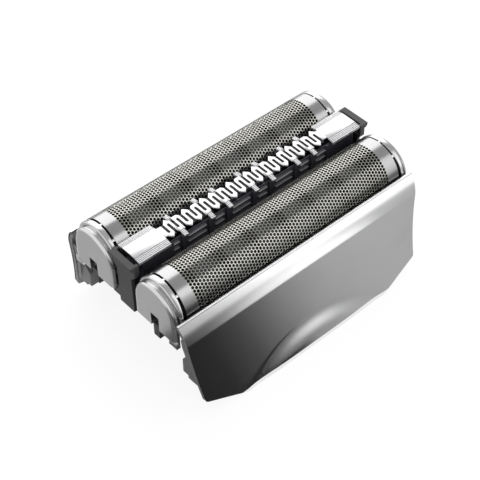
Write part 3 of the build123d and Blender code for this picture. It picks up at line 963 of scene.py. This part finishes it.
def front_line(sizes):
    """Corners of the comb's front edge, in the same way."""
    inside = sizes.slot / 2 - SLOT_LAP
    half = sizes.tab_width / 2
    line = [(sizes.reach - sizes.eave - sizes.comb_length / 2, sizes.eave)]
    for index in range(sizes.turns):
        turn = index % TAB_CYCLE
        ridge = comb_place(sizes, index + REAR_SLOT)
        slot = comb_place(sizes, index + FRONT_SLOT)
        if turn in (RIGHT_TAB, LEFT_TAB):
            line += [(ridge - half, sizes.flat), (ridge + half, sizes.flat)]
        else:
            line.append((ridge, sizes.tip))
        line.append((slot - inside, sizes.flat if turn == RIGHT_TAB else sizes.eave))
        line.append((slot + inside, sizes.flat if turn + 1 == LEFT_TAB else sizes.eave))
    return line


def reach_at(line, x):
    """Reach of an edge at a place along X, straight between its corners and level past its ends."""
    if x <= line[0][0]:
        return line[0][1]
    for (x0, reach0), (x1, reach1) in zip(line[:-1], line[1:]):
        if x <= x1:
            return reach0 + (reach1 - reach0) * (x - x0) / (x1 - x0)
    return line[-1][1]


def comb_sheet(sizes):
    """Flat strip with the outline of the comb's loops and its necks."""
    end = sizes.comb_length / 2 + sizes.neck + sizes.lap
    rear = rear_line(sizes)
    front = front_line(sizes)
    marks = sorted({round(x, 7) for x, _ in rear + front} | {-end, end})
    last = len(marks) - 1
    sheet = grid(last, 1)
    for vertex in sheet.data.vertices:
        x = marks[round((vertex.co.x + 1) / 2 * last)]
        y = reach_at(rear, x) if vertex.co.y > 0 else -reach_at(front, x)
        vertex.co = (x, y, GUARD_HIGH.z)
    apply(sheet, "SOLIDIFY", thickness=sizes.thickness, offset=-1.0)
    return sheet


def comb_slots(sizes):
    """Round-ended cutters for the slots that open to the rear, and a turned copy for those at the front."""
    radius = sizes.slot / 2
    rest()
    bpy.ops.mesh.primitive_cylinder_add(vertices=20, radius=radius, depth=2 * MM)
    rear = bpy.context.object
    edit(rear)
    pick("verts", lambda vertex: vertex.co.y > radius / 10)
    move(0, 2 * sizes.tip, 0)
    rest()
    rear.location = (comb_place(sizes, REAR_SLOT), radius - sizes.reach, GUARD_HIGH.z)
    settle(rear)
    array(rear, sizes.turns, (sizes.comb_length / sizes.turns, 0, 0))
    return rear, copied(rear, "front_slots", scale=(-1, -1, 1))


def ridges(sizes, x0, x1, start):
    """Fine bars that step down and out to the rear, each with a valley before it."""
    parts = []
    for step in range(sizes.ridges):
        y = start + step * sizes.tread
        z = GUARD_HIGH.z - (step + 1) * sizes.rise
        bar_low = (x0, y + BAR_START * sizes.tread, z - sizes.thickness)
        parts.append(soft_box(bar_low, (x1, y + sizes.tread, z), COMB_SOFT))
        web_low = (x0 + WEB_INSET, y - WEB_LAP, z - sizes.valley - WEB_DEPTH)
        web_high = (x1 - WEB_INSET, y + sizes.tread - WEB_INSET, z - sizes.valley)
        parts.append(soft_box(web_low, web_high, WEB_SOFT, 1))
    return joined(parts, "ridges")


def comb_plate(sizes):
    """Right end plate: flat top, ridges down each long edge and a hem under the last one."""
    x0 = sizes.comb_length / 2 + sizes.neck
    x1 = GUARD_HIGH.x
    top = GUARD_HIGH.z
    low = (x0, -sizes.plate_flat, top - sizes.thickness)
    flat = soft_box(low, (x1, sizes.plate_flat, top), COMB_SOFT)
    side = ridges(sizes, x0, x1, sizes.plate_flat)
    edge = sizes.plate_flat + sizes.ridges * sizes.tread
    last = top - sizes.ridges * sizes.rise
    hem = soft_box((x0, edge - HEM_WIDTH, last - sizes.hem), (x1, edge, last - HEM_GAP), COMB_SOFT)
    side = joined([side, hem], "plate_side")
    twin = copied(side, "plate_twin", scale=(1, -1, 1))
    return joined([flat, side, twin], "comb_plate")


def comb_tabs(sizes):
    """Ridged tabs on the blunt loops of both edges."""
    half = sizes.tab_width / 2
    first = ridges(sizes, -half, half, sizes.flat)
    tabs = []
    for x in tab_places(sizes):
        for across in (1, -1):
            tabs.append(copied(first, "tab", scale=(1, across, 1), shift=(x, 0, 0)))
    bpy.data.objects.remove(first)
    return tabs


class FOILHEAD_OT_comb(bpy.types.Operator):
    """Models the bright serpentine comb with its ridged tabs and end plates"""

    bl_idname = "foilhead.comb"
    bl_label = "Trimmer comb"

    def execute(self, context):
        sizes = context.scene.comb_sizes
        comb = comb_sheet(sizes)
        for cutter in comb_slots(sizes):
            cut(comb, cutter)
        limit = {"limit_method": "ANGLE", "angle_limit": math.radians(50)}
        apply(comb, "BEVEL", width=COMB_BEVEL, segments=2, use_clamp_overlap=True, **limit)
        right = comb_plate(sizes)
        left = copied(right, "comb_plate_left", scale=(-1, 1, 1))
        comb = joined([comb, right, left] + comb_tabs(sizes), "bright_comb")
        smooth(comb, 30.0)
        dress(comb, finish("comb"), "trimmer", "comb_steel", "trimmer_guard")
        return {"FINISHED"}


class FOILHEAD_OT_ledges(bpy.types.Operator):
    """Models the ledges in the windows of the trimmer's carrier, light in colour as painted highlights along
    their edges
    """

    bl_idname = "foilhead.ledges"
    bl_label = "Carrier ledges"

    def execute(self, context):
        sizes = context.scene.comb_sizes
        end = sizes.comb_length / 2 + sizes.neck
        marks = [-end] + tab_places(sizes) + [end]
        near = CARRIER_LOW.y + LEDGE_INSET
        far = near + sizes.ledge_depth
        parts = []
        for start, stop in zip(marks[:-1], marks[1:]):
            for drop in (sizes.ledge_upper, sizes.ledge_lower):
                top = GUARD_HIGH.z - drop
                low = (start + sizes.post, near, top - sizes.ledge)
                parts.append(soft_box(low, (stop - sizes.post, far, top), LEDGE_SOFT))
        front = joined(parts, "carrier_ledges")
        rear = copied(front, "rear_ledges", scale=(1, -1, 1))
        ledges = joined([front, rear], "carrier_ledges")
        smooth(ledges, 30.0)
        dress(ledges, finish("ledge"), "trimmer", "trimmer_black")
        return {"FINISHED"}


# Leaf springs: size of a leaf, and the joint of each pair
LEAF_THICKNESS = 0.2 * MM
LEAF_WIDTH = 1.0 * MM
LEAF_ROWS = 24
SPRING_JOINTS = {
    "front_float_springs": "front_float",
    "rear_float_springs": "rear_float",
    "trimmer_springs": "trimmer_float",
}


def leaf_pair(node, name):
    """Two bowed leaves, one near each end of the head, that fill a spring node's box."""
    low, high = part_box(node)
    half = (high.y - low.y) / 2
    rise = high.z - low.z
    leaf = grid(1, LEAF_ROWS)
    for vertex in leaf.data.vertices:
        along = vertex.co.y
        bow = LEAF_THICKNESS + (rise - LEAF_THICKNESS) * (1 - along * along)
        place = high.x - LEAF_WIDTH / 2 + vertex.co.x * LEAF_WIDTH / 2
        vertex.co = (place, (low.y + high.y) / 2 + along * half, low.z + bow)
    if leaf.data.polygons[0].normal.z < 0:
        flip(leaf)
    apply(leaf, "SOLIDIFY", thickness=LEAF_THICKNESS, offset=-1.0)
    twin = copied(leaf, "left_leaf", scale=(-1, 1, 1))
    pair = joined([leaf, twin], name)
    for vertex in pair.data.vertices:
        vertex.co.y = min(high.y, max(low.y, vertex.co.y))
        vertex.co.z = min(high.z, max(low.z, vertex.co.z))
    return pair


class FOILHEAD_OT_springs(bpy.types.Operator):
    """Models the bowed leaf springs, in the shape they have before what they carry is pressed down"""

    bl_idname = "foilhead.springs"
    bl_label = "Leaf springs"

    def execute(self, context):
        for node, joint in SPRING_JOINTS.items():
            pair = leaf_pair(node, "bowed_" + node)
            smooth(pair, 40.0)
            dress(pair, finish("steel"), "frame", "spring_steel", node)
            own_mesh(pair)
        return {"FINISHED"}


# Solids that keep their shape, with their finish and the softening of their edges in millimetres
NODE_FINISHES = (
    (("cassette_frame",), "frame", 0.08),
    (("centre_frame",), "tower", 0.07),
    (("trimmer_carrier", "trimmer_slider"), "carrier", 0.05),
    (("front_cradle", "rear_cradle", "front_cutter_carrier", "rear_cutter_carrier"), "inner", 0.06),
    (("front_drive_socket", "rear_drive_socket"), "frame", 0.06),
    (("front_blades", "rear_blades"), "steel", 0.02),
    (("trimmer_blade",), "toothed", 0.02),
)


class FOILHEAD_OT_solids(bpy.types.Operator):
    """Gives the remaining solids their finishes and softened edges"""

    bl_idname = "foilhead.solids"
    bl_label = "Solids"

    def execute(self, context):
        for names, key, size in NODE_FINISHES:
            for name in names:
                node = frame["nodes"][name]
                node.data.materials.clear()
                node.data.materials.append(finish(key))
                weld = node.modifiers.new("Weld", "WELD")
                weld.merge_threshold = MERGE
                soft = node.modifiers.new("Bevel", "BEVEL")
                soft.width = size * MM
                soft.segments = 2
                soft.limit_method = "ANGLE"
                soft.angle_limit = math.radians(40)
        return {"FINISHED"}


# Studio


def camera_matrix(stage):
    """Camera turn and place from its angles."""
    turn = Matrix.Rotation(stage.azimuth, 4, "Z") @ Matrix.Rotation(math.pi / 2 - stage.elevation, 4, "X")
    return Matrix.Translation(stage.place) @ turn @ Matrix.Rotation(stage.roll, 4, "Z")


def softbox(name, power, size, place, target):
    """An area lamp that looks at a point, with its long side along X."""
    rest()
    bpy.ops.object.light_add(type="AREA")
    lamp = bpy.context.object
    lamp.name = name
    lamp.data.shape = "RECTANGLE"
    lamp.data.size, lamp.data.size_y = size
    lamp.data.energy = power
    back = (Vector(place) - Vector(target)).normalized()
    along = (Vector((1, 0, 0)) - back * back.x).normalized()
    turn = Matrix((along, back.cross(along), back)).transposed().to_4x4()
    lamp.matrix_world = Matrix.Translation(place) @ turn
    return lamp


def bare_material(name):
    """A material with only its output."""
    material = bpy.data.materials.new(name)
    material.use_nodes = True
    nodes = material.node_tree.nodes
    nodes.remove(nodes["Principled BSDF"])
    return material, nodes["Material Output"]


FLOOR_SIZE = 6.0
FLOOR_DROP = 0.02 * MM
FLOOR_SHADE = (0.14, 0.14, 0.14, 1)
FLOOR_GLOW = 0.9


def floor_material(tint):
    """Pale floor that shows white to the camera and in metal, with a faint shadow."""
    material, output = bare_material("studio_floor")
    matt = new_node(material, "BsdfDiffuse", {"Color": (*tint, 1)})
    pale = new_node(material, "BsdfDiffuse", {"Color": FLOOR_SHADE})
    glow = new_node(material, "Emission", {"Strength": FLOOR_GLOW})
    both = new_node(material, "AddShader", {0: pale, 1: glow})
    path = new_node(material, "LightPath").outputs
    seen = path["Is Camera Ray"]
    for ray in ("Is Glossy Ray", "Is Transmission Ray"):
        seen = new_node(material, "Math", {0: seen, 1: path[ray]}, operation="MAXIMUM")
    feed(material, output, {"Surface": new_node(material, "MixShader", {"Fac": seen, 1: matt, 2: both})})
    return material


def card_material(name, lean, levels):
    """Card seen only in reflections: light levels at places along X, which lean to +X toward the front."""
    material, output = bare_material(name)
    place = new_node(material, "TexCoord").outputs["Object"]
    turn = new_node(material, "Mapping", {"Vector": place, "Rotation": (0, 0, -lean)})
    split = new_node(material, "SeparateXYZ", {"Vector": turn})
    first, last = levels[0][0], levels[-1][0]
    limits = {"From Min": first * math.cos(lean), "From Max": last * math.cos(lean)}
    span = new_node(material, "MapRange", {"Value": split.outputs["X"], **limits})
    ramp = new_node(material, "ValToRGB", {"Fac": span})
    stops = ramp.color_ramp.elements
    while len(stops) < len(levels):
        stops.new(0.5)
    for stop, (where, level) in zip(stops, levels):
        stop.position = (where - first) / (last - first)
        shade = level / CARD_GLOW
        stop.color = (shade, shade, shade, 1)
    glow = new_node(material, "Emission", {"Color": ramp, "Strength": CARD_GLOW})
    feed(material, output, {"Surface": glow})
    return material


def stage_card(name, low, high, material):
    """A stage card between two corners, level or standing, that only shows in reflections."""
    rest()
    bpy.ops.mesh.primitive_plane_add(size=1)
    card = bpy.context.object
    card.name = name
    low = Vector(low)
    high = Vector(high)
    size = high - low
    if size.z:
        card.rotation_euler = (math.pi / 2, 0, 0 if size.x else math.pi / 2)
    card.scale = (size.x or size.y, size.z or size.y, 1)
    card.location = (low + high) / 2
    settle(card)
    card.data.materials.append(material)
    card.visible_camera = False
    card.visible_diffuse = False
    card.visible_shadow = False


# Stage, in metres: lean of a card's levels, then places along X with their light levels
LEAN = math.radians(27.2)
CARD_GLOW = 2.0
CARD_LOOKS = {
    # The under card is painted shade: its dark levels stand for the head's own shadow on the floor just in
    # front of and under it, seen in the chrome skirts
    "under": (LEAN, (
        (-0.03, 0.02), (-0.0135, 0.02), (-0.011, 0.08), (-0.008, 0.3), (0, 0.39), (0.01, 0.43), (0.04, 0.45),
    )),
    "near": (LEAN, (
        (-0.032, 0.012), (-0.024, 0.02), (-0.018, 0.06), (-0.012, 0.165),
        (-0.006, 0.3), (0.001, 0.39), (0.01, 0.43), (0.04, 0.45),
    )),
    "far": (LEAN, (
        (-0.03, 0.05), (-0.0235, 0.2), (-0.0205, 0.45), (-0.0145, 1.0), (-0.007, 1.35),
        (0.005, 1.35), (0.0085, 1.1), (0.0115, 0.7), (0.0145, 0.46), (0.04, 0.45),
    )),
    "panel": (LEAN, (
        (-0.036, 0.35), (-0.0265, 0.75), (-0.0205, 1.35), (-0.0165, 1.6), (0.02, 1.6), (0.06, 1.2),
    )),
    "rear": (0.0, ((-0.03, 0.6), (0.0, 0.5))),
    "left": (0.0, ((-0.12, 1.0), (-0.06, 0.45), (-0.02, 0.45))),
    "pale": (0.0, ((-0.36, 0.85), (-0.06, 1.15))),
    "top": (0.0, ((-0.3, 0.42), (0.5, 0.42))),
}

# Cards with their look, low corner and high corner
CARD_HEIGHT = 0.5 * MM
STAGE_CARDS = (
    ("under", "under", (-0.25, -0.018, CARD_HEIGHT), (0.25, 0, CARD_HEIGHT)),
    ("near", "near", (-0.25, -0.033, CARD_HEIGHT), (0.25, -0.018, CARD_HEIGHT)),
    ("far", "far", (-0.25, -0.25, CARD_HEIGHT), (0.4, -0.033, CARD_HEIGHT)),
    ("panel", "panel", (-0.25, -0.25, CARD_HEIGHT), (0.4, -0.25, 0.5)),
    ("rear", "rear", (-0.03, 0.03, CARD_HEIGHT), (0.5, 0.5, CARD_HEIGHT)),
    ("left", "left", (-0.12, -0.02, CARD_HEIGHT), (-0.024, 0.06, CARD_HEIGHT)),
    ("back", "pale", (-0.36, 0.2, 0.01), (-0.06, 0.2, 0.34)),
    ("side", "pale", (-0.3, -0.3, 0.01), (-0.3, 0.2, 0.34)),
    ("top", "top", (-0.3, -0.13, 0.3), (0.5, 0.07, 0.3)),
)

# Lamps with the setting for their power, size, place and whether metal shows them
LAMP_TARGET = (0, 0, 0.018)
LAMPS = (
    ("rear_softbox", "key", (0.6, 0.6), (0.227, 0.374, 0.26), True),
    ("front_softbox", "fill", (0.7, 0.2), (0.227, -0.42, 0.17), False),
    ("top_softbox", "top", (0.8, 0.8), (0, 0, 0.8), False),
)
SENSOR_WIDTH = 36.0
CLIP_START = 5 * MM


class FOILHEAD_OT_stage(bpy.types.Operator):
    """Sets up floor, light and camera"""

    bl_idname = "foilhead.stage"
    bl_label = "Studio"

    def execute(self, context):
        stage = context.scene.stage_settings
        context.scene.view_settings.view_transform = "Standard"
        rest()
        bpy.ops.mesh.primitive_plane_add(size=FLOOR_SIZE, location=(0, 0, -FLOOR_DROP))
        floor = context.object
        floor.name = "studio_floor"
        settle(floor)
        floor.data.materials.append(floor_material(tints().floor))
        looks = {name: card_material("card_" + name, *look) for name, look in CARD_LOOKS.items()}
        for name, look, low, high in STAGE_CARDS:
            stage_card("studio_card_" + name, low, high, looks[look])
        for name, setting, size, place, shown in LAMPS:
            lamp = softbox(name, getattr(stage, setting), size, place, LAMP_TARGET)
            lamp.visible_glossy = shown
        world = context.scene.world or bpy.data.worlds.new("studio_world")
        context.scene.world = world
        world.use_nodes = True
        sky = world.node_tree.nodes["Background"]
        feed(world, sky, {"Color": (1, 1, 1, 1), "Strength": stage.sky})
        rest()
        bpy.ops.object.camera_add()
        camera = context.object
        camera.name = "photo_view"
        camera.data.lens = stage.lens
        camera.data.sensor_width = SENSOR_WIDTH
        camera.data.clip_start = CLIP_START
        camera.matrix_world = camera_matrix(stage)
        context.scene.camera = camera
        return {"FINISHED"}


class FOILHEAD_PT_panel(bpy.types.Panel):
    """Lists the steps that dress the foil head"""

    bl_label = "Foil Head"
    bl_idname = "FOILHEAD_PT_panel"
    bl_space_type = "VIEW_3D"
    bl_region_type = "UI"
    bl_category = "Foil Head"

    def draw(self, context):
        for step in STEPS:
            self.layout.operator(step.bl_idname)


STEPS = (
    FOILHEAD_OT_springs,
    FOILHEAD_OT_solids,
    FOILHEAD_OT_skirts,
    FOILHEAD_OT_foils,
    FOILHEAD_OT_caps,
    FOILHEAD_OT_comb,
    FOILHEAD_OT_ledges,
    FOILHEAD_OT_stage,
)
GROUPS = (
    ("foil_sizes", FoilSizes),
    ("cap_sizes", CapSizes),
    ("skirt_sizes", SkirtSizes),
    ("comb_sizes", CombSizes),
    ("finish_colours", FinishColours),
    ("stage_settings", StageSettings),
)


def register():
    for name, group in GROUPS:
        bpy.utils.register_class(group)
        setattr(bpy.types.Scene, name, PointerProperty(type=group))
    for item in STEPS + (FOILHEAD_PT_panel,):
        bpy.utils.register_class(item)


def unregister():
    for item in (FOILHEAD_PT_panel,) + STEPS[::-1]:
        bpy.utils.unregister_class(item)
    for name, group in GROUPS[::-1]:
        delattr(bpy.types.Scene, name)
        bpy.utils.unregister_class(group)


def main():
    register()
    bpy.ops.foilhead.springs()
    bpy.ops.foilhead.solids()
    bpy.ops.foilhead.skirts()
    bpy.ops.foilhead.foils()
    bpy.ops.foilhead.caps()
    bpy.ops.foilhead.comb()
    bpy.ops.foilhead.ledges()
    bpy.ops.foilhead.stage()


if __name__ == "__main__":
    main()
